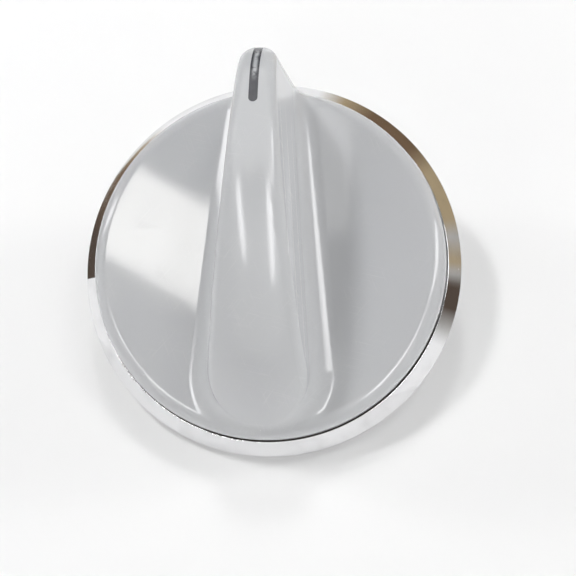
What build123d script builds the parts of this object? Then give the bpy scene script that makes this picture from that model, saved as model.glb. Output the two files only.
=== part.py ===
from build123d import *
import os
from math import asin, cos, degrees, radians, sin, sqrt, tan

os.makedirs("parts", exist_ok=True)

# A push-on dryer knob. The shaft axis is Z, the face looks up and the pointer looks along +Y.
# The origin is on the axis, at the end of the stem.

# Trim ring
ring_od = 66.0
ring_land = 1.0
bevel_rise = 2.6
bevel_run = 2.45
lip_depth = 0.8
ring_edge = 0.3
lip_land = 0.12

# Disc and skirt
stem_reach = 10.0
ring_gap = 0.25
disc_rise = 3.9
shoulder_r = 2.4
plate_t = 2.2
skirt_t = 2.0
seat_step = 1.2
ring_slack = 0.05
skirt_lift = 0.4

# Snap lugs that hold the ring from behind
lug_count = 6
lug_arc = 14.0
lug_proud = 0.45
lug_height = 0.9
lug_room = 0.15

# Blade grip
blade_height = 21.2
tail_tip = 28.3
tail_r = 8.6
nose_reach = 33.0
nose_tip_r = 4.5
blade_draft = 4.6
nose_run = 8.8
nose_r = 10.0
crest_y = 15.8
crest_r = 68.0
tail_run = 10.3
tail_crest_r = 24.0
crown_r = 14.0
crown_margin = 0.5
top_edge_r = 2.2
base_fillet_r = 4.2
nose_gap = 0.15
blade_wall = 2.0

# Pointer line
line_w = 1.45
line_len = 12.3
line_drop = 8.0
line_depth = 0.6
line_sink = 0.12

# Stem, shaft socket and clip
stem_r = 6.2
shaft_d = 6.0
lead_in_clear = 0.2
lead_in_len = 6.0
mouth_chamfer = 0.5
socket_clear = 0.02
socket_len = 13.0
shaft_flat = 1.5
slot_w = 1.2
slot_len = 9.5
rib_t = 1.4
rib_lift = 1.6
rib_turn = 45.0
clip_z = 2.4
clip_w = 5.0
clip_t = 0.6
clip_sink = 0.5
clip_slack = 0.05
clip_gap = 70.0
clip_lip = 1.1

# Levels along the axis
ring_back = stem_reach
bevel_foot = ring_back + ring_land
bevel_top = bevel_foot + bevel_rise
seat_z = bevel_top - lip_depth
face_z = bevel_top + disc_rise
plate_back = face_z - plate_t
skirt_end = ring_back + skirt_lift
blade_top = face_z + blade_height

# Radii
ring_r = ring_od / 2
lip_r = ring_r - bevel_run
disc_r = lip_r - ring_gap
skirt_r = disc_r - seat_step
cavity_r = skirt_r - skirt_t
ring_bore_r = skirt_r + ring_slack
lead_in_r = shaft_d / 2 + lead_in_clear
socket_r = shaft_d / 2 + socket_clear
clip_r = stem_r - clip_sink + clip_slack + clip_t / 2

# The blade's plan: a tail circle and a nose circle, joined by their two tangents
tail_y = tail_r - tail_tip
nose_y = nose_reach - nose_tip_r
side_angle = degrees(asin((tail_r - nose_tip_r) / (nose_y - tail_y)))

# Where the crest turns down to the tail and to the nose, and where the pointer line ends
tail_start = tail_tip - tail_run
nose_start = nose_reach - nose_run
line_start = nose_reach - line_len

# Rebate in the back of the ring that takes the lugs
rebate_r = ring_bore_r + lug_proud + lug_room
rebate_top = skirt_end + lug_height + lug_room


def crest_line(inset):
    """The blade's side view: tail arc, long crest arc and nose arc, moved in by the inset."""
    centre = Vector(0, crest_y, blade_top - crest_r)
    tail_turn = asin((crest_y + tail_start) / crest_r)
    tail_dir = Vector(0, -sin(tail_turn), cos(tail_turn))
    tail_centre = centre + tail_dir * (crest_r - tail_crest_r)
    nose_turn = asin((nose_start - crest_y) / crest_r)
    nose_dir = Vector(0, sin(nose_turn), cos(nose_turn))
    nose_centre = centre + nose_dir * (crest_r - nose_r)
    back_dir = Vector(0, -1, 0)
    front_dir = Vector(0, 1, 0)
    with BuildLine() as crest:
        tail_end = tail_centre + back_dir * (tail_crest_r - inset)
        tail_mid = tail_centre + (back_dir + tail_dir).normalized() * (tail_crest_r - inset)
        tail_join = centre + tail_dir * (crest_r - inset)
        ThreePointArc(tail_end, tail_mid, tail_join)
        crest_mid = centre + (tail_dir + nose_dir).normalized() * (crest_r - inset)
        nose_join = centre + nose_dir * (crest_r - inset)
        ThreePointArc(tail_join, crest_mid, nose_join)
        nose_mid = nose_centre + (nose_dir + front_dir).normalized() * (nose_r - inset)
        nose_end = nose_centre + front_dir * (nose_r - inset)
        ThreePointArc(nose_join, nose_mid, nose_end)
    return crest.wire()


def blade(inset, foot):
    """The blade from the foot up, with its walls and crest moved in by the inset."""
    crest = crest_line(inset)
    half = tail_r - inset + crown_margin
    sag = crown_r - sqrt(crown_r**2 - half**2)
    with BuildPart() as cutter:
        with BuildSketch(Plane(crest @ 0, x_dir=(1, 0, 0), z_dir=crest % 0)):
            with BuildLine():
                ThreePointArc((-half, sag), (0, 0), (half, sag))
                Polyline((half, sag), (half, -blade_height), (-half, -blade_height), (-half, sag))
            make_face()
        sweep(path=crest)

    spread = tan(radians(blade_draft)) * (face_z - foot) - inset
    with BuildPart() as form:
        with BuildSketch(Plane.XY.offset(foot)):
            with BuildLine():
                tail = CenterArc((0, tail_y), tail_r + spread, 180 - side_angle, 180 + 2 * side_angle)
                nose = CenterArc((0, nose_y), nose_tip_r + spread, side_angle, 180 - 2 * side_angle)
                Line(tail @ 1, nose @ 0)
                Line(nose @ 1, tail @ 0)
            make_face()
        extrude(amount=blade_top - foot, taper=blade_draft)
        add(cutter.part, mode=Mode.SUBTRACT)
    return form.part


# One lug on the skirt, with a lead-in slope and a shoulder that catches the ring
with BuildPart() as snap_lug:
    with BuildSketch(Plane.XZ):
        with BuildLine():
            Polyline(
                (skirt_r - skirt_t / 2, skirt_end),
                (skirt_r, skirt_end),
                (skirt_r + lug_proud, skirt_end + lug_height - lug_proud),
                (skirt_r, skirt_end + lug_height),
                (skirt_r - skirt_t / 2, skirt_end + lug_height),
                close=True,
            )
        make_face()
    revolve(axis=Axis.Z, revolution_arc=lug_arc)

# The blade's outside, with the rim between its walls and its crown rounded all the way round
with BuildPart() as outer_blade:
    add(blade(0, seat_z))
    fillet(outer_blade.edges().filter_by(GeomType.BSPLINE), top_edge_r)

# The hollow in the blade, on both sides of the stem
with BuildPart() as blade_core:
    add(blade(blade_wall, plate_back))
    with BuildSketch(Plane.XY.offset(plate_back)):
        Circle(stem_r)
    extrude(amount=blade_top - plate_back, mode=Mode.SUBTRACT)

# The slot that holds the pointer line, from its round end over the nose
with BuildPart() as line_slot:
    with BuildSketch(Plane.XY.offset(blade_top - line_drop)):
        with Locations((0, line_start + line_w / 2)):
            Circle(line_w / 2)
            Rectangle(line_w, line_len, align=(Align.CENTER, Align.MIN))
    extrude(amount=line_drop)

with BuildPart() as pointer_inlay:
    add(line_slot.part)
    add(blade(line_sink, seat_z), mode=Mode.INTERSECT)
    add(blade(line_depth, seat_z), mode=Mode.SUBTRACT)

with BuildPart() as line_groove:
    add(line_slot.part)
    add(blade(line_depth, seat_z), mode=Mode.SUBTRACT)

with BuildPart() as knob_body:
    # Disc with its round shoulder, the blade on it and the fillet where they meet
    with BuildSketch(Plane.XZ) as disc_half:
        with Locations((0, seat_z)):
            Rectangle(disc_r, face_z - seat_z, align=Align.MIN)
        fillet(disc_half.vertices().group_by(Axis.Y)[-1].sort_by(Axis.X)[-1], shoulder_r)
    revolve(axis=Axis.Z)
    add(outer_blade.part)
    fillet(knob_body.edges(Select.NEW), base_fillet_r)
    # Room under the nose for the ring
    with BuildSketch(Plane.XY.offset(seat_z)):
        Circle(ring_r)
        Circle(disc_r, mode=Mode.SUBTRACT)
    extrude(amount=lip_depth + nose_gap, mode=Mode.SUBTRACT)
    # Skirt inside the ring, with its lugs, and the hollow back
    with BuildSketch(Plane.XY.offset(skirt_end)):
        Circle(skirt_r)
    extrude(amount=seat_z - skirt_end)
    with BuildSketch(Plane.XY.offset(skirt_end)):
        Circle(cavity_r)
    extrude(amount=plate_back - skirt_end, mode=Mode.SUBTRACT)
    add(blade_core.part, mode=Mode.SUBTRACT)
    with PolarLocations(0, lug_count):
        add(snap_lug.part)
    # Stem and the ribs that carry it
    with BuildSketch():
        Circle(stem_r)
    extrude(amount=plate_back)
    with BuildSketch(Plane.XY.offset(ring_back + rib_lift)):
        with Locations(Rotation(0, 0, rib_turn)):
            Rectangle(2 * cavity_r + skirt_t, rib_t)
            Rectangle(rib_t, 2 * cavity_r + skirt_t)
    extrude(amount=plate_back - ring_back - rib_lift)
    # Round lead-in, D-shaped socket and the slots that let the stem grip
    with BuildSketch(Plane.XZ):
        with BuildLine():
            Polyline(
                (0, 0),
                (lead_in_r + mouth_chamfer, 0),
                (lead_in_r, mouth_chamfer),
                (lead_in_r, lead_in_len),
                (0, lead_in_len),
                close=True,
            )
        make_face()
    revolve(axis=Axis.Z, mode=Mode.SUBTRACT)
    with BuildSketch(Plane.XY.offset(lead_in_len)):
        Circle(socket_r)
        with Locations((0, shaft_flat + socket_clear)):
            Rectangle(shaft_d, shaft_d, align=(Align.CENTER, Align.MIN), mode=Mode.SUBTRACT)
    extrude(amount=socket_len, mode=Mode.SUBTRACT)
    with BuildSketch():
        Rectangle(2 * (stem_r + clip_t), slot_w)
    extrude(amount=slot_len, mode=Mode.SUBTRACT)
    with BuildSketch(Plane.XY.offset(clip_z - clip_slack)):
        Circle(stem_r + clip_t)
        Circle(stem_r - clip_sink, mode=Mode.SUBTRACT)
    extrude(amount=clip_w + 2 * clip_slack, mode=Mode.SUBTRACT)
    add(line_groove.part, mode=Mode.SUBTRACT)

with BuildPart() as trim_ring:
    with BuildSketch(Plane.XZ) as ring_section:
        with BuildLine():
            Polyline(
                (rebate_r, ring_back),
                (ring_r, ring_back),
                (ring_r, bevel_foot),
                (lip_r + lip_land, bevel_top),
                (lip_r, bevel_top),
                (lip_r, seat_z),
                (ring_bore_r, seat_z),
                (ring_bore_r, rebate_top),
                (rebate_r, rebate_top),
                close=True,
            )
        make_face()
        chamfer(ring_section.vertices().group_by(Axis.X)[-1], ring_edge)
    revolve(axis=Axis.Z)

# The spring band, with both ends turned out so that it can be spread
with BuildPart() as shaft_clip:
    with BuildSketch(Plane.XY.offset(clip_z)):
        with BuildLine():
            band = CenterArc((0, 0), clip_r, clip_gap / 2, 360 - clip_gap)
            for end, way in ((band @ 0, band % 0 * -1), (band @ 1, band % 1)):
                out = Vector(end.X, end.Y).normalized()
                TangentArc(end, end + (way + out) * clip_lip, tangent=way)
        trace(line_width=clip_t)
    extrude(amount=clip_w)

knob_body.part.label = "knob_body"
export_step(knob_body.part, "parts/knob_body.step")
trim_ring.part.label = "trim_ring"
export_step(trim_ring.part, "parts/trim_ring.step")
pointer_inlay.part.label = "pointer_inlay"
export_step(pointer_inlay.part, "parts/pointer_inlay.step")
shaft_clip.part.label = "shaft_clip"
export_step(shaft_clip.part, "parts/shaft_clip.step")
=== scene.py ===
# %% [markdown]
# # A dryer knob, dressed in Blender
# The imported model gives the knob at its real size, in metres, standing on the end of its stem.
# The face looks up along +Z and the pointer lies along +Y, so every piece made here goes where
# the solids already are. What is left for Blender is the surface: the shine of grey moulded
# plastic, the bright plating of the ring, a painted line and the soft white studio around them.

# %% Load the frame
import math

import bpy
import numpy as np
from mathutils import Matrix, Vector


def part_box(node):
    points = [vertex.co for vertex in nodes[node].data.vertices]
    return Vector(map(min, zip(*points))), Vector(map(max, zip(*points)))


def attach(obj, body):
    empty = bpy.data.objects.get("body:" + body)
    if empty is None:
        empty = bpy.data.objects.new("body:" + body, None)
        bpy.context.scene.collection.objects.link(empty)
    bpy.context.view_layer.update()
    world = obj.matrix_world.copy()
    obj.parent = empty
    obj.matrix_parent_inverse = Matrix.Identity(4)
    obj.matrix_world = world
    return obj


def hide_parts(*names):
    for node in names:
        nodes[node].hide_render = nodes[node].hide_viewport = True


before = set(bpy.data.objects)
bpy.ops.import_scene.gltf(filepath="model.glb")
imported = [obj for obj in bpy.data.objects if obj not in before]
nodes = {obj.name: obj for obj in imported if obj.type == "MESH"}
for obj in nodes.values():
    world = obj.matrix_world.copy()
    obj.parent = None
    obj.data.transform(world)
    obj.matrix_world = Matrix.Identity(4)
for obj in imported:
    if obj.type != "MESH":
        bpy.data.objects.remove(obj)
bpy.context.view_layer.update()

scene = bpy.context.scene
scene.view_settings.view_transform = "Standard"
MM = 0.001
print("nodes:", sorted(nodes))

# %% [markdown]
# ## The camera
# The picture is taken nearly straight at the face, from a little below the axis and a little to
# its right, close enough for the tall grip to lean out of the disc. A camera could be turned by
# eye until it looks right, but numbers can be checked: the distance and the angles here are the
# ones that bring the ring's two ellipses and the grip's top edges to their places in the picture.

# %% Place the camera
IMAGE_PX = 576
SENSOR_MM = 36.0
FOCAL_PX = 1144.3
CAMERA_FAR = 0.200
CAMERA_SEES_FROM = 0.001
CAMERA_BELOW = math.radians(10.65)
CAMERA_RIGHT = math.radians(7.1)
KNOB_ROLL = math.radians(1.7)
RING_PLANE_Z = 0.011
RING_CENTRE_PX = (270.7, 265.65)

unroll = Matrix.Rotation(KNOB_ROLL, 3, "Z")
towards = unroll @ Vector((
    math.sin(CAMERA_RIGHT) * math.cos(CAMERA_BELOW),
    -math.sin(CAMERA_BELOW),
    math.cos(CAMERA_RIGHT) * math.cos(CAMERA_BELOW),
))
rightward = unroll @ Vector((math.cos(CAMERA_RIGHT), 0, -math.sin(CAMERA_RIGHT)))
upward = towards.cross(rightward)

camera_data = bpy.data.cameras.new("camera")
camera_data.sensor_width = SENSOR_MM
camera_data.lens = FOCAL_PX * SENSOR_MM / IMAGE_PX
camera_data.shift_x = (IMAGE_PX / 2 - RING_CENTRE_PX[0]) / IMAGE_PX
camera_data.shift_y = (RING_CENTRE_PX[1] - IMAGE_PX / 2) / IMAGE_PX
camera_data.clip_start = CAMERA_SEES_FROM
camera = bpy.data.objects.new("camera", camera_data)
scene.collection.objects.link(camera)
camera_turn = Matrix((rightward, upward, towards)).transposed()
camera_at = Vector((0, 0, RING_PLANE_Z)) + towards * CAMERA_FAR
camera.matrix_world = Matrix.Translation(camera_at) @ camera_turn.to_4x4()
scene.camera = camera
print("camera at", [round(v, 4) for v in camera_at], "lens", round(camera_data.lens, 1))

# %% [markdown]
# ## Small helpers
# A node tree is easier to read when each node is made and wired in one line. Sheets and lathed
# surfaces are computed as whole arrays, because a grid of points is all that a mesh needs.

# %% Helpers for node trees
def add_node(tree, kind, **inputs):
    """A new node of the kind, with each input set to a value or linked to a socket. An input goes
    by its name, with _ for a space, or by its number, as i0, i1 and so on."""
    node = tree.nodes.new(kind)
    for name, value in inputs.items():
        key = int(name[1:]) if name[1:].isdigit() else name.replace("_", " ")
        if isinstance(value, bpy.types.NodeSocket):
            tree.links.new(value, node.inputs[key])
        else:
            node.inputs[key].default_value = value
    return node


def math_node(tree, operation, a, b=0.0, c=0.0):
    """The sum, product or other operation on two or three values."""
    node = add_node(tree, "ShaderNodeMath", i0=a, i1=b, i2=c)
    node.operation = operation
    return node.outputs[0]


def product(tree, first, *others):
    """All the values multiplied together."""
    for value in others:
        first = math_node(tree, "MULTIPLY", first, value)
    return first


def rest_of(tree, value):
    """1 - value."""
    return math_node(tree, "SUBTRACT", 1.0, value)


def smooth(tree, value, low, high):
    """0 below low, 1 above high, and a soft step between them."""
    node = add_node(tree, "ShaderNodeMapRange", Value=value, From_Min=low, From_Max=high)
    node.interpolation_type = "SMOOTHSTEP"
    return node.outputs["Result"]


def coordinate(tree, kind):
    """One of the Texture Coordinate node's outputs: Object, Normal, UV or Generated."""
    return add_node(tree, "ShaderNodeTexCoord").outputs[kind]


def xyz(tree, vector):
    """The X, Y and Z of a vector."""
    return add_node(tree, "ShaderNodeSeparateXYZ", Vector=vector).outputs


print("helpers for node trees ready")

# %% Helpers for materials and meshes
def new_material(name):
    """An empty material, its node tree and its output."""
    material = bpy.data.materials.new(name)
    material.use_nodes = True
    tree = material.node_tree
    tree.nodes.clear()
    return material, tree, tree.nodes.new("ShaderNodeOutputMaterial").inputs["Surface"]


def mesh_object(name, points, faces, uv=None):
    """A mesh object from an (n, 3) array of points, an (m, 4) array of faces and a uv a corner."""
    mesh = bpy.data.meshes.new(name)
    mesh.vertices.add(len(points))
    mesh.vertices.foreach_set("co", np.asarray(points, np.float32).ravel())
    mesh.loops.add(faces.size)
    mesh.loops.foreach_set("vertex_index", faces.astype(np.int32).ravel())
    mesh.polygons.add(len(faces))
    mesh.polygons.foreach_set("loop_start", np.arange(0, faces.size, 4, dtype=np.int32))
    mesh.update(calc_edges=True)
    if uv is not None:
        layer = mesh.uv_layers.new(name="UVMap")
        layer.data.foreach_set("uv", np.asarray(uv, np.float32).ravel())
    mesh.validate()
    thing = bpy.data.objects.new(name, mesh)
    scene.collection.objects.link(thing)
    return thing


ONE_FACE = np.array([(0, 1, 2, 3)])
ONE_FACE_UV = [(0, 0), (1, 0), (1, 1), (0, 1)]
WHITE = (1.0, 1.0, 1.0, 1)
print("helpers for materials and meshes ready")

# %% [markdown]
# ## The floor
# The knob lies on white paper, on the lower edge of its ring and the end of its stem. A level
# floor could be put under the lowest point, but then the knob would balance on its stem. Two
# places and the left-right direction make a plane, so the floor is worked out from the solids'
# own boxes.

# %% Lay the floor
FLOOR_HALF = 3.0
FLOOR_GAP = 0.0001

ring_foot = np.array(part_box("trim_ring")[0])[1:]
stem_foot = np.array([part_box("shaft_clip")[0][1], 0.0])
slope = (stem_foot - ring_foot) / np.linalg.norm(stem_foot - ring_foot)
lift = np.array([-slope[1], slope[0]])
near_edge, far_edge = (
    ring_foot + np.outer([-FLOOR_HALF, FLOOR_HALF], slope) - FLOOR_GAP * lift
)
floor_corners = np.array([
    (-FLOOR_HALF, *near_edge), (FLOOR_HALF, *near_edge),
    (FLOOR_HALF, *far_edge), (-FLOOR_HALF, *far_edge),
])
floor = mesh_object("floor", floor_corners, ONE_FACE)
floor_tilt = math.degrees(math.atan2(lift[0], lift[1]))
print("floor tilted", round(floor_tilt, 1), "degrees towards the nose")

# %% [markdown]
# A floor lit hard enough to look white would also burn out the grey plastic. Here the camera and
# the reflections take a part of the floor's white from a plain glow and the rest from the light
# that falls on it, so it is white and still keeps the knob's shadow. Far from the knob all of it
# is glow. A camera below the floor looks through it.

# %% White paper
PAPER = (0.80, 0.80, 0.80, 1)
GLOW_SHARE = 0.25
GLOW_RISES = (0.12, 0.45)

white_paper, tree, surface = new_material("white_paper")
paper = add_node(tree, "ShaderNodeBsdfDiffuse", Color=PAPER)
glow = add_node(tree, "ShaderNodeEmission", Color=WHITE, Strength=1.0)
path = add_node(tree, "ShaderNodeLightPath").outputs
looked_at = math_node(tree, "ADD", path["Is Camera Ray"], path["Is Glossy Ray"])
looked_at = math_node(tree, "ADD", looked_at, path["Is Transmission Ray"])
from_knob = add_node(tree, "ShaderNodeVectorMath", i0=coordinate(tree, "Object"))
from_knob.operation = "LENGTH"
farness = smooth(tree, from_knob.outputs["Value"], *GLOW_RISES)
share = product(tree, looked_at, math_node(tree, "MAXIMUM", farness, GLOW_SHARE))
lit_paper = add_node(
    tree, "ShaderNodeMixShader", Fac=share, i1=paper.outputs[0], i2=glow.outputs[0]
)
under = add_node(tree, "ShaderNodeNewGeometry").outputs["Backfacing"]
from_below = product(tree, under, path["Is Camera Ray"])
clear = add_node(tree, "ShaderNodeBsdfTransparent")
seen = add_node(
    tree, "ShaderNodeMixShader", Fac=from_below, i1=lit_paper.outputs[0], i2=clear.outputs[0]
)
tree.links.new(seen.outputs[0], surface)
floor.data.materials.append(white_paper)
print("floor is", white_paper.name)

# %% [markdown]
# ## The surround
# A white tent is brightest low down, where its walls are, and darker overhead, where the camera
# looks in. That gives the rounded edges of the grip their pale rims while the flat disc mirrors
# little. The front and the right of the tent are a little brighter, because the tail and the
# right flank are the paler sides. An image of a studio could be wrapped round the scene, but a
# few sums on the direction of a ray do the same and need no file. The camera itself sees plain
# white.

# %% Light the surround
TENT_SIDES = 0.52
TENT_OVERHEAD = 0.10
TENT_FRONT = 0.45
TENT_RIGHT = 0.30

world = bpy.data.worlds.new("white_tent")
scene.world = world
world.use_nodes = True
tree = world.node_tree
look = xyz(tree, coordinate(tree, "Generated"))
level = add_node(
    tree, "ShaderNodeMapRange", Value=look["Z"], To_Min=TENT_SIDES, To_Max=TENT_OVERHEAD
)
lean = math_node(tree, "MULTIPLY_ADD", look["Y"], -TENT_FRONT, 1.0)
lean = math_node(tree, "MULTIPLY_ADD", look["X"], TENT_RIGHT, lean)
tent = product(tree, level.outputs["Result"], lean)
camera_ray = add_node(tree, "ShaderNodeLightPath").outputs["Is Camera Ray"]
strength = add_node(tree, "ShaderNodeMix", Factor=camera_ray, A=tent, B=1.0)
background = tree.nodes["Background"].inputs
tree.links.new(strength.outputs["Result"], background["Strength"])
background["Color"].default_value = WHITE
print("tent lit from", TENT_OVERHEAD, "overhead to", TENT_SIDES, "at the sides")

# %% [markdown]
# ## Panels of light
# Glossy plastic shows its lights as shapes, and shows where each one is. So the light is made in
# two parts: lamps that only light the knob, and panels that are only mirrored in it. Blender's
# own area lamps could do the first, but a sheet with a material can also fade out towards its
# rim. A place is given by two angles from the middle of the face, or on a level plane above the
# face.

# %% Where a panel hangs
FACE_Z = 0.0175
PANEL_H = 0.600
PANEL_FAR = 0.750


def side(right, up, far=PANEL_FAR):
    """The point at a distance, in a direction turned right of the axis, then lifted towards +Y."""
    r, e = math.radians(right), math.radians(up)
    away = np.array([math.sin(r) * math.cos(e), math.sin(e), math.cos(r) * math.cos(e)])
    return far * away + (0, 0, FACE_Z)


def soft_box(right, up, half_wide, half_tall, far=PANEL_FAR):
    """Four corners of a box of light about a direction, each a number of degrees off it."""
    return [
        side(right - half_wide, up - half_tall, far),
        side(right + half_wide, up - half_tall, far),
        side(right + half_wide, up + half_tall, far),
        side(right - half_wide, up + half_tall, far),
    ]


def strip(start, end, width):
    """Four corners of a level strip of a given width, from start to end at the panels' height."""
    a = np.array([*start, FACE_Z + PANEL_H])
    b = np.array([*end, FACE_Z + PANEL_H])
    across = np.cross(b - a, (0, 0, 1.0))
    across *= width / 2 / np.linalg.norm(across)
    return [a - across, b - across, b + across, a + across]


print("panels hang", PANEL_FAR, "m away, level ones", PANEL_H, "m above the face")

# %% How a panel shines
WHITE_LIGHT = (1.0, 1.0, 1.0)


def light_panel(name, corners, strength, fade, colour=WHITE_LIGHT, mirrored=True):
    """A lit sheet on four corners, u along the first side and v along the second. Its cover is
    s(u / f0) s((1 - u) / f1) s(v / f2) s((1 - v) / f3), where s is a soft step from 0 to 1 and f
    are the four fade widths, and where it doesn't cover, what lies behind shows through."""
    sheet = mesh_object(name, np.array(corners), ONE_FACE, uv=ONE_FACE_UV)
    material, tree, surface = new_material(name)
    uv = xyz(tree, coordinate(tree, "UV"))
    cover = 1.0
    for axis, (low, high) in zip("XY", (fade[:2], fade[2:])):
        rise = smooth(tree, uv[axis], 0.0, low)
        fall = smooth(tree, rest_of(tree, uv[axis]), 0.0, high)
        cover = product(tree, cover, rise, fall)
    lit = add_node(tree, "ShaderNodeEmission", Color=(*colour, 1), Strength=strength)
    clear = add_node(tree, "ShaderNodeBsdfTransparent")
    mixed = add_node(tree, "ShaderNodeMixShader", Fac=cover, i1=clear.outputs[0], i2=lit.outputs[0])
    tree.links.new(mixed.outputs[0], surface)
    sheet.data.materials.append(material)
    sheet.visible_camera = False
    sheet.visible_shadow = False
    sheet.visible_glossy = mirrored
    sheet.visible_diffuse = not mirrored
    return sheet


print("panels ready to hang")

# %% [markdown]
# ## Lamps
# One lamp stands over the knob's left shoulder, one over the right and one behind it, and their
# shadows meet where the ring touches the floor. Two stand low at the sides and soften the
# shadow's outer edge. Two wide ones in front and a fill on the right lift the tail and the right
# flank. One large lamp would be simpler, but it would make one plain shadow instead of these
# soft, wide ones.

# %% Hang the lamps
SOFT = (0.2, 0.2, 0.2, 0.2)
LAMPS = (  # name, degrees right and up, half the width and height in degrees, strength
    ("lamp_upper_left", -30, 32, 5, 5, 76.0),
    ("lamp_upper_right", 32, 36, 5, 5, 28.0),
    ("lamp_back", 0, 58, 9, 6, 36.0),
    ("lamp_low_left", -68, 28, 4, 5, 52.0),
    ("lamp_low_right", 68, 28, 4, 5, 48.0),
    ("lamp_front_left", -48, -48, 22, 16, 6.6),
    ("lamp_front_right", 50, -50, 22, 16, 5.4),
    ("fill_right", 84, -4, 5, 24, 10.0),
)

for name, right, up, half_wide, half_tall, strength in LAMPS:
    box = soft_box(right, up, half_wide, half_tall)
    light_panel(name, box, strength, SOFT, mirrored=False)
print("lamps:", [row[0] for row in LAMPS])

# %% [markdown]
# ## Mirrored panels
# The disc mirrors a slanted band on its left, the crown of the grip two upright streaks, and the
# fillets at the foot of the grip a bright line each. A pale card close over the nose keeps the
# other panels out of its mirror, and two broad sheets far in front give the tail its sheen. Such
# streaks could be painted on, but then they would stay where they are when the knob is seen from
# elsewhere.

# %% Hang the mirrored panels
SKY_FAR = 1.800
SHEEN_FAR = 1.500
WARM = (1.0, 0.985, 0.955)
CRISP = (0.02, 0.02, 0.03, 0.03)
STREAK = (0.25, 0.25, 0.45, 0.45)
SHEEN = (0.1, 0.1, 0.2, 0.3)
SKY = (0.3, 0.3, 0.3, 0.3)
FILLET_RIGHT = (0.05, 0.75, 0.03, 0.1)
FILLET_LEFT = (0.05, 0.05, 0.03, 0.1)
CARD = (0.05, 0.05, 0.15, 0.05)
CARD_Z = 0.046
CARD_HALF = 0.013
CARD_Y = (0.008, 0.045)

sheen_front = soft_box(0, -62, 70, 8, SHEEN_FAR)
sky_front = soft_box(0, -22, 50, 26, SKY_FAR)
band_left = strip((-0.200, 0.1565), (-0.085, 0.095), 0.070)
strip_left = strip((-0.300, 0.097), (-0.150, -0.280), 0.125)
strip_right = strip((0.147, 0.085), (0.283, -0.395), 0.140)
fillet_right = [side(14, 4.4), side(50, 4.4), side(76, 24), side(60, 24)]
fillet_left = [side(-72, 16), side(-26, 16), side(-44, 24), side(-56, 24)]
nose_card = [
    (-CARD_HALF, CARD_Y[0], CARD_Z), (CARD_HALF, CARD_Y[0], CARD_Z),
    (CARD_HALF, CARD_Y[1], CARD_Z), (-CARD_HALF, CARD_Y[1], CARD_Z),
]
mirrored_panels = [
    light_panel("sheen_front", sheen_front, 3.0, SHEEN),
    light_panel("sky_front", sky_front, 1.4, SKY),
    light_panel("band_left", band_left, 11.0, CRISP, WARM),
    light_panel("strip_left", strip_left, 11.0, STREAK),
    light_panel("strip_right", strip_right, 11.0, STREAK),
    light_panel("fillet_right", fillet_right, 9.0, FILLET_RIGHT),
    light_panel("fillet_left", fillet_left, 9.0, FILLET_LEFT),
    light_panel("nose_card", nose_card, 2.2, CARD),
]
print("mirrored panels:", [panel.name for panel in mirrored_panels])

# %% [markdown]
# ## What the ring sees
# The ring's bevel is a 45 degree mirror, so it looks outwards rather than up at the lights. What
# it mirrors is brown and gold on the right and at the upper left, and white elsewhere. Things
# could be modelled there, but in so narrow a mirror only their colours show. So a low round wall
# outside the picture, coloured along its length, stands in for them. Only reflections see it.

# %% Stand the wall
WALL_R = 0.055
WALL_TOP = 0.020
WALL_STEPS = 360

wall_turn = np.linspace(-math.pi, math.pi, WALL_STEPS + 1)
wall_foot = np.stack(
    [WALL_R * np.cos(wall_turn), WALL_R * np.sin(wall_turn), np.zeros_like(wall_turn)], 1
)
wall_points = np.concatenate([wall_foot, wall_foot + (0, 0, WALL_TOP)])
begin = np.arange(WALL_STEPS)
above = WALL_STEPS + 1
wall_faces = np.stack([begin, begin + 1, begin + 1 + above, begin + above], 1)
wall_u = np.stack([begin, begin + 1, begin + 1, begin], 1) / WALL_STEPS
wall_v = np.tile([0, 0, 1, 1], (WALL_STEPS, 1))
wall = mesh_object("room_wall", wall_points, wall_faces, uv=np.stack([wall_u, wall_v], -1))
wall.visible_camera = False
wall.visible_diffuse = False
wall.visible_shadow = False
print("wall stands at", WALL_R, "m")

# %% [markdown]
# The wall's UV map runs once round it, so a colour ramp along U puts each colour at its angle.

# %% Colour the wall
DARK = (0.10, 0.075, 0.06, 1)
BROWN = (0.185, 0.122, 0.075, 1)
GOLD = (0.43, 0.34, 0.21, 1)
STEEL = (0.46, 0.45, 0.43, 1)
WALL_COLOURS = (  # degrees round the axis from +X, and the colour there
    (-174, WHITE), (-22, WHITE), (-16, STEEL), (-10, DARK), (-2, DARK), (2, STEEL), (6, GOLD),
    (14, STEEL), (20, GOLD), (36, GOLD), (46, BROWN), (62, BROWN), (72, GOLD), (80, WHITE),
    (128, WHITE), (136, GOLD), (146, BROWN), (166, DARK),
)

wall_paint, tree, surface = new_material("room_wall")
ramp = add_node(tree, "ShaderNodeValToRGB", Fac=xyz(tree, coordinate(tree, "UV"))["X"])
stops = ramp.color_ramp.elements
stops[0].color = WHITE
stops[1].color = DARK
for degrees, colour in WALL_COLOURS:
    stops.new((degrees + 180) / 360).color = colour
lit = add_node(tree, "ShaderNodeEmission", Color=ramp.outputs["Color"], Strength=1.0)
tree.links.new(lit.outputs[0], surface)
wall.data.materials.append(wall_paint)
print("wall has", len(stops), "stops of colour")
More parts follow.
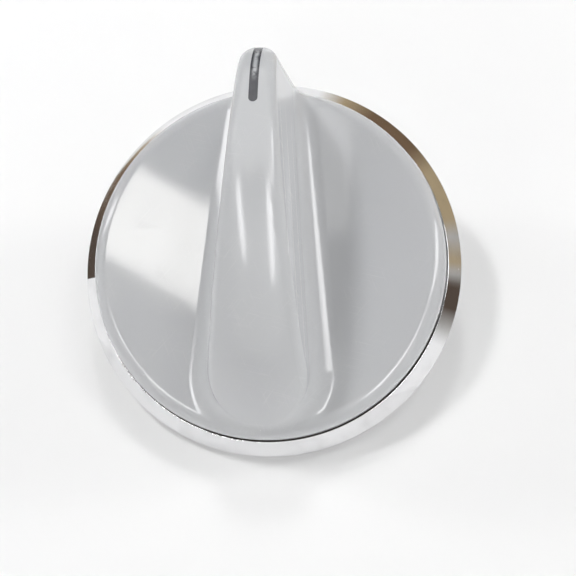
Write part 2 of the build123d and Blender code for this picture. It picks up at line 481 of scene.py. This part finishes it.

# %% [markdown]
# ## Marks that every finish shares
# A knob that has been turned for years carries the same marks on all its parts: hairline
# scratches from hands and cloths, specks of dust and slow changes of tone. With them goes painted
# shade in the gap between ring and disc. They could be painted as images, but an image needs a UV
# map and is only as fine as its pixels. Here each is a node group, built once and given its own
# values in each material. All of them read Object coordinates, so a mark is as large on the real
# knob as the number says.

# %% Make and use a mark
def mark_group(name, inputs, output_name):
    """An empty node group with value inputs, one value output and its Object coordinates."""
    group = bpy.data.node_groups.new(name, "ShaderNodeTree")
    for socket, value in inputs.items():
        made = group.interface.new_socket(
            name=socket, in_out="INPUT", socket_type="NodeSocketFloat"
        )
        made.default_value = value
    group.interface.new_socket(name=output_name, in_out="OUTPUT", socket_type="NodeSocketFloat")
    given = group.nodes.new("NodeGroupInput").outputs
    result = group.nodes.new("NodeGroupOutput").inputs[output_name]
    return group, given, result, coordinate(group, "Object")


def use_mark(tree, group, **values):
    """The group's output in a material, with this material's own values."""
    node = tree.nodes.new("ShaderNodeGroup")
    node.node_tree = group
    for name, value in values.items():
        node.inputs[name.replace("_", " ")].default_value = value
    return node.outputs[0]


print("marks can be made")

# %% [markdown]
# A hairline is noise drawn out along one direction. Three directions are added up, and the sum is
# kept only where patches of wear allow it.

# %% Hairline scratches
HAIRLINE_TURNS = (12, 68, 131)
HAIRLINE_PER_M_UP = 300.0
HAIRLINE_KEPT = (0.65, 0.73)
WEAR_PER_M = 110.0
WEAR_KEPT = (0.42, 0.62)

scratches, given, result, place = mark_group(
    "hairline_scratches", {"Length mm": 7.0, "Width mm": 0.10}, "Scratch"
)
length = product(scratches, given["Length mm"], MM)
width = product(scratches, given["Width mm"], MM)
hairlines = 0.0
for degrees in HAIRLINE_TURNS:
    turned = add_node(
        scratches, "ShaderNodeVectorRotate", Vector=place, Angle=math.radians(degrees)
    )
    turned.rotation_type = "Z_AXIS"
    at = xyz(scratches, turned.outputs[0])
    drawn_out = add_node(
        scratches, "ShaderNodeCombineXYZ",
        X=math_node(scratches, "DIVIDE", at["X"], length),
        Y=math_node(scratches, "DIVIDE", at["Y"], width),
        Z=product(scratches, at["Z"], HAIRLINE_PER_M_UP),
    )
    grain = add_node(
        scratches, "ShaderNodeTexNoise", Vector=drawn_out.outputs[0], Scale=1.0, Detail=1.0
    )
    fine = smooth(scratches, grain.outputs[0], *HAIRLINE_KEPT)
    hairlines = math_node(scratches, "ADD", hairlines, fine)
wear = add_node(scratches, "ShaderNodeTexNoise", Vector=place, Scale=WEAR_PER_M, Detail=2.0)
kept = product(scratches, hairlines, smooth(scratches, wear.outputs[0], *WEAR_KEPT))
scratches.links.new(math_node(scratches, "MINIMUM", kept, 1.0), result)
print("mark:", scratches.name)

# %% [markdown]
# Dust lies in dots at the middle of random cells, in about a third of them, each of its own size.
# The slow tone is plain noise, about 0.5 on average.

# %% Dust and slow tone
SPECK_CHOSEN = (0.62, 0.70)

specks, given, result, place = mark_group(
    "dust_specks", {"Spacing mm": 3.0, "Size": 0.045}, "Speck"
)
per_metre = math_node(specks, "DIVIDE", 1.0 / MM, given["Spacing mm"])
cells = add_node(specks, "ShaderNodeTexVoronoi", Vector=place, Scale=per_metre).outputs
pick = add_node(specks, "ShaderNodeSeparateColor", Color=cells["Color"]).outputs
reach = product(specks, given["Size"], pick["Green"])
dot = math_node(specks, "LESS_THAN", cells["Distance"], reach)
specks.links.new(product(specks, dot, smooth(specks, pick["Red"], *SPECK_CHOSEN)), result)

cloud, given, result, place = mark_group("slow_tone", {"Size mm": 14.0}, "Tone")
per_metre = math_node(cloud, "DIVIDE", 1.0 / MM, given["Size mm"])
slow = add_node(cloud, "ShaderNodeTexNoise", Vector=place, Scale=per_metre, Detail=3.0)
cloud.links.new(slow.outputs[0], result)
print("marks:", specks.name, "and", cloud.name)

# %% [markdown]
# The gap between disc and ring gets painted shade, darker on the low side, towards -Y. It lies
# inside a band of radius and a band of height, with soft edges.

# %% Painted shade in the gap
SHADE_BELOW = (0.004, 0.013)
SOFT_INNER_MM = 0.12
SOFT_OUTER_MM = 0.06
SOFT_UPPER_MM = 0.5
SOFT_LOWER_MM = 0.2

# The mark made here is painted shade in the gap between disc and ring, darker towards -Y.
gap_shade_group, given, result, place = mark_group(
    "painted_gap_shade", {"From mm": 29.9, "To mm": 30.6, "Below mm": 14.0, "Above mm": 12.5}, "Painted_shade"
)
at = xyz(gap_shade_group, place)
squares = math_node(
    gap_shade_group, "ADD", product(gap_shade_group, at["X"], at["X"]), product(gap_shade_group, at["Y"], at["Y"])
)
radius = math_node(gap_shade_group, "DIVIDE", math_node(gap_shade_group, "SQRT", squares), MM)
high = math_node(gap_shade_group, "DIVIDE", at["Z"], MM)
# Painted shade, stronger towards -Y, kept inside the bands of radius and height below.
shade_mask = smooth(gap_shade_group, product(gap_shade_group, at["Y"], -1.0), *SHADE_BELOW)
grime_edges = (
    (radius, given["From mm"], SOFT_INNER_MM), (given["To mm"], radius, SOFT_OUTER_MM),
    (given["Below mm"], high, SOFT_UPPER_MM), (high, given["Above mm"], SOFT_LOWER_MM),
)
for more, less, soft_edge in grime_edges:
    inside = smooth(gap_shade_group, math_node(gap_shade_group, "SUBTRACT", more, less), 0.0, soft_edge)
    shade_mask = product(gap_shade_group, shade_mask, inside)
gap_shade_group.links.new(shade_mask, result)
print("shared marks:", [group.name for group in bpy.data.node_groups])

# %% [markdown]
# ## Mixing by a mark
# Each finish below starts from one colour and lets the marks pull it towards another one. The
# Principled shader stays in the material, with the values that are the same all over set on its
# own sockets. Heights are given in micrometres, because a scratch is a few of them deep.

# %% Mix, raise and shade
MICROMETRE = 1e-6
PLASTIC_IOR = 1.5
# The dark colour of the painted shade in the gap between ring and disc.
GAP_SHADE_COLOUR = (0.045, 0.034, 0.027, 1)
DUST = (0.60, 0.60, 0.59, 1)


def tint(tree, mark, colour, towards_colour, share=1.0):
    """A colour that goes from one towards the other by share * mark."""
    amount = product(tree, mark, share)
    node = add_node(tree, "ShaderNodeMix", i0=amount, i6=colour, i7=towards_colour)
    node.data_type = "RGBA"
    return node.outputs[2]


def weighed(tree, base, *pairs):
    """base + weight * mark, over the pairs of mark and weight."""
    total = base
    for mark, weight in pairs:
        total = math_node(tree, "ADD", total, product(tree, mark, weight))
    return total


def shaded(tree, surface, height_um, **sockets):
    """The material's Principled shader, with its normal bent by a height in micrometres."""
    bump = add_node(tree, "ShaderNodeBump", Strength=1.0, Distance=MICROMETRE, Height=height_um)
    shader = add_node(
        tree, "ShaderNodeBsdfPrincipled", Normal=bump.outputs["Normal"], **sockets
    )
    tree.links.new(shader.outputs[0], surface)


def finish_node(node, material):
    """The one material of a CAD node."""
    nodes[node].data.materials.clear()
    nodes[node].data.materials.append(material)
    print(node, "is", material.name)


print("mixing helpers ready")

# %% [markdown]
# ## Grey moulded plastic
# The body is one glossy grey moulding. Along each flank of its grip run three fine bright lines,
# painted highlights in a lighter colour over a slight raised ridge. They could be cut into the
# mesh, but they are hairlines, so a mask on the height Z that only works where the surface faces
# sideways will do.

# %% Find the painted highlight lines on the flanks
LINE_FIRST_MM = 24.7
LINE_PITCH_MM = 4.75
LINE_HALF_MM = 0.22
LINE_FACING = (0.90, 0.97)
LINE_BEGINS_Y = (-0.021, -0.016)
LINE_ENDS_Y = (0.014, 0.026)

moulding, tree, surface = new_material("grey_moulding")
at = xyz(tree, coordinate(tree, "Object"))
facing = xyz(tree, coordinate(tree, "Normal"))
high = math_node(tree, "DIVIDE", at["Z"], MM)
from_first = math_node(tree, "SUBTRACT", high, LINE_FIRST_MM)
off_line = math_node(tree, "WRAP", from_first, LINE_PITCH_MM / 2, -LINE_PITCH_MM / 2)
off_line = math_node(tree, "ABSOLUTE", off_line)
# Painted highlights: thin lines on the flanks, lightened in colour and raised a little.
flank_highlight = product(
    tree,
    rest_of(tree, smooth(tree, off_line, 0.0, LINE_HALF_MM)),
    smooth(tree, math_node(tree, "ABSOLUTE", facing["X"]), *LINE_FACING),
    smooth(tree, at["Y"], *LINE_BEGINS_Y),
    rest_of(tree, smooth(tree, at["Y"], *LINE_ENDS_Y)),
)
# These are the painted highlight lines on the flanks.
print("painted flank highlights every", LINE_PITCH_MM, "mm from", LINE_FIRST_MM, "mm up")

# %% [markdown]
# The face is polished, and the crown of the grip has gone a little dull where fingers hold it.
# One material does both, because the height tells the crown from the face.

# %% Grey moulding
GREY = (0.45, 0.455, 0.465, 1)
DEEP_GREY = (0.36, 0.365, 0.375, 1)
# The colour of the painted highlight lines on the flanks.
FLANK_HIGHLIGHT_GREY = (0.90, 0.90, 0.90, 1)
GREY_POLISH = 0.05
HELD_MM = (24.0, 34.0)

tone = use_mark(tree, cloud, Size_mm=11.0)
ripple = use_mark(tree, cloud, Size_mm=1.6)
scratch = use_mark(tree, scratches, Length_mm=7.0, Width_mm=0.12)
speck = use_mark(tree, specks, Spacing_mm=3.2, Size=0.05)
# Painted shade on the disc's edge, where it runs down under the ring's lip.
gap_shade = use_mark(tree, gap_shade_group, From_mm=29.9, To_mm=31.0, Below_mm=14.2, Above_mm=12.4)
colour = tint(tree, tone, GREY, DEEP_GREY, share=0.12)
colour = tint(tree, flank_highlight, colour, FLANK_HIGHLIGHT_GREY, share=0.45)
colour = tint(tree, scratch, colour, DUST, share=0.22)
colour = tint(tree, speck, colour, DUST, share=0.6)
colour = tint(tree, gap_shade, colour, GAP_SHADE_COLOUR)
dulled = smooth(tree, high, *HELD_MM)
rough = weighed(
    tree, GREY_POLISH, (tone, 0.03), (dulled, 0.05), (scratch, 0.10), (speck, 0.3), (gap_shade, 0.5)
)
height = weighed(tree, 0.0, (ripple, 3.0), (scratch, -1.5), (flank_highlight, 20.0), (speck, 8.0))
shaded(tree, surface, height, Base_Color=colour, Roughness=rough, Metallic=0.0, IOR=PLASTIC_IOR)
finish_node("knob_body", moulding)

# %% [markdown]
# ## The pointer line
# The line is dark paint in a shallow groove. On its upper half a pale streak along its middle is a
# painted highlight: a lighter colour in a mask on X and Y, broken up by the slow tone. It could be
# a piece of its own, but it has no thickness.

# %% Dark line
PAINT = (0.025, 0.025, 0.032, 1)
PALER_PAINT = (0.060, 0.060, 0.068, 1)
# The colour of the painted highlight along the line's upper half.
POINTER_HIGHLIGHT_GREY = (0.36, 0.37, 0.38, 1)
PAINT_POLISH = 0.10
HIGHLIGHT_BEGINS_Y = (0.0240, 0.0265)
HIGHLIGHT_ENDS_Y = (0.0295, 0.0312)
HIGHLIGHT_X = (0.00010, 0.00055)
HIGHLIGHT_TONE = (0.30, 0.55)

paint, tree, surface = new_material("dark_line")
at = xyz(tree, coordinate(tree, "Object"))
tone = use_mark(tree, cloud, Size_mm=1.1)
scratch = use_mark(tree, scratches, Length_mm=2.5, Width_mm=0.09)
# Painted highlight: a pale streak along the middle of the line's upper half.
pointer_highlight = product(
    tree,
    smooth(tree, at["Y"], *HIGHLIGHT_BEGINS_Y),
    rest_of(tree, smooth(tree, at["Y"], *HIGHLIGHT_ENDS_Y)),
    rest_of(tree, smooth(tree, math_node(tree, "ABSOLUTE", at["X"]), *HIGHLIGHT_X)),
    smooth(tree, tone, *HIGHLIGHT_TONE),
)
colour = tint(tree, pointer_highlight, tint(tree, tone, PAINT, PALER_PAINT), POINTER_HIGHLIGHT_GREY)
rough = weighed(tree, PAINT_POLISH, (tone, 0.08), (scratch, 0.15), (pointer_highlight, 0.10))
height = weighed(tree, 0.0, (tone, 6.0), (scratch, -2.0), (pointer_highlight, -6.0))
shaded(tree, surface, height, Base_Color=colour, Roughness=rough, Metallic=0.0, IOR=PLASTIC_IOR)
finish_node("pointer_inlay", paint)

# %% [markdown]
# ## Spring steel
# The clip round the stem is bent from rolled strip. It is duller than plating, with the faint
# straw tint that tempering leaves and the hairlines that it gets when it is pushed on. It hides
# behind the disc in use, so the shared marks are enough for it.

# %% Spring steel
STRIP_GREY = (0.52, 0.52, 0.53, 1)
STRAW = (0.48, 0.43, 0.36, 1)
STRAW_TONE = (0.40, 0.75)
STRIP_POLISH = 0.24

spring, tree, surface = new_material("spring_steel")
tone = use_mark(tree, cloud, Size_mm=4.0)
scratch = use_mark(tree, scratches, Length_mm=5.0, Width_mm=0.05)
colour = tint(tree, smooth(tree, tone, *STRAW_TONE), STRIP_GREY, STRAW)
rough = weighed(tree, STRIP_POLISH, (tone, 0.12), (scratch, 0.15))
height = weighed(tree, 0.0, (tone, 4.0), (scratch, -2.0))
shaded(tree, surface, height, Base_Color=colour, Roughness=rough, Metallic=1.0)
finish_node("shaft_clip", spring)

# %% [markdown]
# ## The plated ring
# The ring is a moulding with a bright metal skin. Plating never leaves an edge sharp: it builds
# up and rounds it, and the thin inner lip has nicks where it was knocked. The solid ring has flat
# chamfers, so the ring is turned again here from the same section. Every corner of the section
# becomes an arc, with one point held close beside each arc so that the flats stay flat in a
# mirror finish.

# %% The ring's section, in millimetres
ring_low, ring_high = (np.array(corner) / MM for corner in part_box("trim_ring"))
RING_R = np.abs([ring_low[:2], ring_high[:2]]).min()
RING_BACK = ring_low[2]
BEVEL_TOP = ring_high[2]
BEVEL_FOOT = RING_BACK + 1.0
LIP_R = 30.55
LIP_LAND = 0.12
SEAT_Z = BEVEL_TOP - 0.8
BORE_R = 29.15
REBATE_R = 29.75
REBATE_TOP = RING_BACK + 1.45

ring_corners = np.array([  # radius, height, rounding
    (REBATE_R, RING_BACK, 0.06),
    (RING_R, RING_BACK, 0.30),
    (RING_R, BEVEL_FOOT, 0.60),
    (LIP_R + LIP_LAND, BEVEL_TOP, 0.08),
    (LIP_R, BEVEL_TOP, 0.05),
    (LIP_R, SEAT_Z, 0.10),
    (BORE_R, SEAT_Z, 0.10),
    (BORE_R, REBATE_TOP, 0.06),
    (REBATE_R, REBATE_TOP, 0.06),
])
print("ring section of", len(ring_corners), "corners, radius", round(RING_R, 2))

# %% [markdown]
# Blender's Bevel modifier could round the edges, but it gives every edge one width. Here the
# outer edge of the real ring is much rounder than its lip, so each corner has its own radius. A
# few more points near the lip keep the nicks from pulling at the whole bevel.

# %% Round the section
HOLD = 0.01
ARC_STEPS = 5
LIP_CORNER = 3
BEVEL_POINTS = (0.05, 0.12, 0.20, 0.30, 0.45)


def rounded_section(points, radii, steps):
    """Each corner p with unit sides a before and b after becomes an arc: it starts at p - t a,
    where t = radius * tan(turn / 2), and its points are centre + R(k * turn) (start - centre), k
    from 0 to 1."""
    a = points - np.roll(points, 1, 0)
    b = np.roll(points, -1, 0) - points
    a /= np.linalg.norm(a, axis=1, keepdims=True)
    b /= np.linalg.norm(b, axis=1, keepdims=True)
    turn = np.arctan2(a[:, 0] * b[:, 1] - a[:, 1] * b[:, 0], (a * b).sum(1))
    t = (radii * np.tan(np.abs(turn) / 2))[:, None]
    start = points - t * a
    inward = np.stack([-a[:, 1], a[:, 0]], 1) * (np.sign(turn) * radii)[:, None]
    angle = np.linspace(0, 1, steps) * turn[:, None]
    spoke = -inward[:, None, :]
    swung = np.stack([
        spoke[..., 0] * np.cos(angle) - spoke[..., 1] * np.sin(angle),
        spoke[..., 0] * np.sin(angle) + spoke[..., 1] * np.cos(angle),
    ], -1)
    arc = (start + inward)[:, None, :] + swung
    held_before = (start - HOLD * a)[:, None]
    held_after = (points + (t + HOLD) * b)[:, None]
    return np.concatenate([held_before, arc, held_after], 1).reshape(-1, 2)


def with_points(outline, at, before):
    """The closed outline with more points on it, at distances before its point number at."""
    closed = np.concatenate([outline, outline[:1]])
    steps = np.linalg.norm(np.diff(closed, axis=0), axis=1)
    walked = np.concatenate([[0], np.cumsum(steps)])
    wanted = np.sort(np.concatenate([walked[:-1], walked[at] - np.array(before)]))
    return np.stack([np.interp(wanted, walked, closed[:, axis]) for axis in (0, 1)], 1)


profile = rounded_section(ring_corners[:, :2], ring_corners[:, 2], ARC_STEPS)
profile = with_points(profile, LIP_CORNER * (ARC_STEPS + 2), BEVEL_POINTS)
print("rounded section of", len(profile), "points")

# %% [markdown]
# The nicks are dents in the lip. A bump in the material would leave the lip's outline straight,
# so they are in the mesh. Each one is a bell in the angle round the ring, and the deepest bell at
# an angle pushes down, and a little outwards, only those points of the section that lie close to
# the lip's top.

# %% Nick the lip
RING_STEPS = 900
NICK_SEED = 7
NICK_COUNT = 40
NICK_ARC = np.radians((-158.0, -92.0))
NICK_HALF = (0.005, 0.013)
NICK_DEPTH = (0.05, 0.16)
NICK_OUTWARD = 0.4
LIP_REACH = 0.13

draw = np.random.default_rng(NICK_SEED)
nick_at = draw.uniform(*NICK_ARC, NICK_COUNT)
nick_half = draw.uniform(*NICK_HALF, NICK_COUNT)
nick_depth = draw.uniform(*NICK_DEPTH, NICK_COUNT)
around = np.linspace(-math.pi, math.pi, RING_STEPS, endpoint=False)
bells = np.exp(-0.5 * ((around[:, None] - nick_at) / nick_half) ** 2)
dent = (nick_depth * bells).max(1)
from_lip = ((profile - (LIP_R + LIP_LAND / 2, BEVEL_TOP)) ** 2).sum(1)
near_lip = np.exp(-0.5 * from_lip / LIP_REACH ** 2)
pushed = np.outer(near_lip, dent)
print(NICK_COUNT, "nicks, the deepest", round(dent.max(), 2), "mm")

# %% [markdown]
# The section is now carried round the axis, as on a lathe. Blender's Screw modifier does that for
# a section that stays the same, but this one is nicked differently at each angle, so the grid of
# points is worked out at once.

# %% Turn the ring
def turned_ring(profile, around, pushed):
    """Points and faces of the section carried round the axis: for a point (r, z) of the section, an
    angle a and a push p there, the point is (R cos a, R sin a, z - p), R = r + NICK_OUTWARD * p."""
    radius = profile[:, :1] + NICK_OUTWARD * pushed
    height = profile[:, 1:] - pushed
    points = np.stack([radius * np.cos(around), radius * np.sin(around), height], -1)
    rows, steps = radius.shape
    row, step = np.meshgrid(np.arange(rows), np.arange(steps), indexing="ij")
    next_row, next_step = (row + 1) % rows, (step + 1) % steps
    faces = np.stack([
        row * steps + step, row * steps + next_step,
        next_row * steps + next_step, next_row * steps + step,
    ], -1)
    return points.reshape(-1, 3) * MM, faces.reshape(-1, 4)


ring_points, ring_faces = turned_ring(profile, around, pushed)
ring = mesh_object("bright_ring", ring_points, ring_faces)
ring.data.shade_smooth()
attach(ring, "root")
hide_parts("trim_ring")
print("bright_ring has", len(ring_faces), "faces")

# %% [markdown]
# ## Bright plating
# Plating is a clean mirror, a touch cool. It has hairlines from wiping and a few dull clouds. The
# wall that faces the disc gets painted shade, a dark colour that is no metal, so it takes the metal
# away too. It could be a second material on those faces, but its edge is soft, so it is mixed in.

# %% Plate the ring
PLATE = (0.81, 0.81, 0.82, 1)
CLOUDED = (0.70, 0.70, 0.71, 1)
CLOUDED_TONE = (0.45, 0.80)
PLATE_POLISH = 0.035
METAL_LOST = 0.95

plating, tree, surface = new_material("bright_plating")
tone = use_mark(tree, cloud, Size_mm=6.0)
ripple = use_mark(tree, cloud, Size_mm=2.4)
scratch = use_mark(tree, scratches, Length_mm=4.0, Width_mm=0.06)
speck = use_mark(tree, specks, Spacing_mm=2.2, Size=0.05)
# Painted shade on the ring's wall that faces the disc.
gap_shade = use_mark(tree, gap_shade_group, From_mm=28.8, To_mm=30.64, Below_mm=13.85, Above_mm=12.4)
colour = tint(tree, smooth(tree, tone, *CLOUDED_TONE), PLATE, CLOUDED)
colour = tint(tree, gap_shade, colour, GAP_SHADE_COLOUR)
rough = weighed(tree, PLATE_POLISH, (tone, 0.04), (scratch, 0.12), (speck, 0.25), (gap_shade, 0.5))
metal = rest_of(tree, product(tree, gap_shade, METAL_LOST))
height = weighed(tree, 0.0, (ripple, 2.0), (scratch, -0.3), (speck, -1.5))
shaded(tree, surface, height, Base_Color=colour, Roughness=rough, Metallic=metal)
ring.data.materials.append(plating)
print("bright_ring is", plating.name)
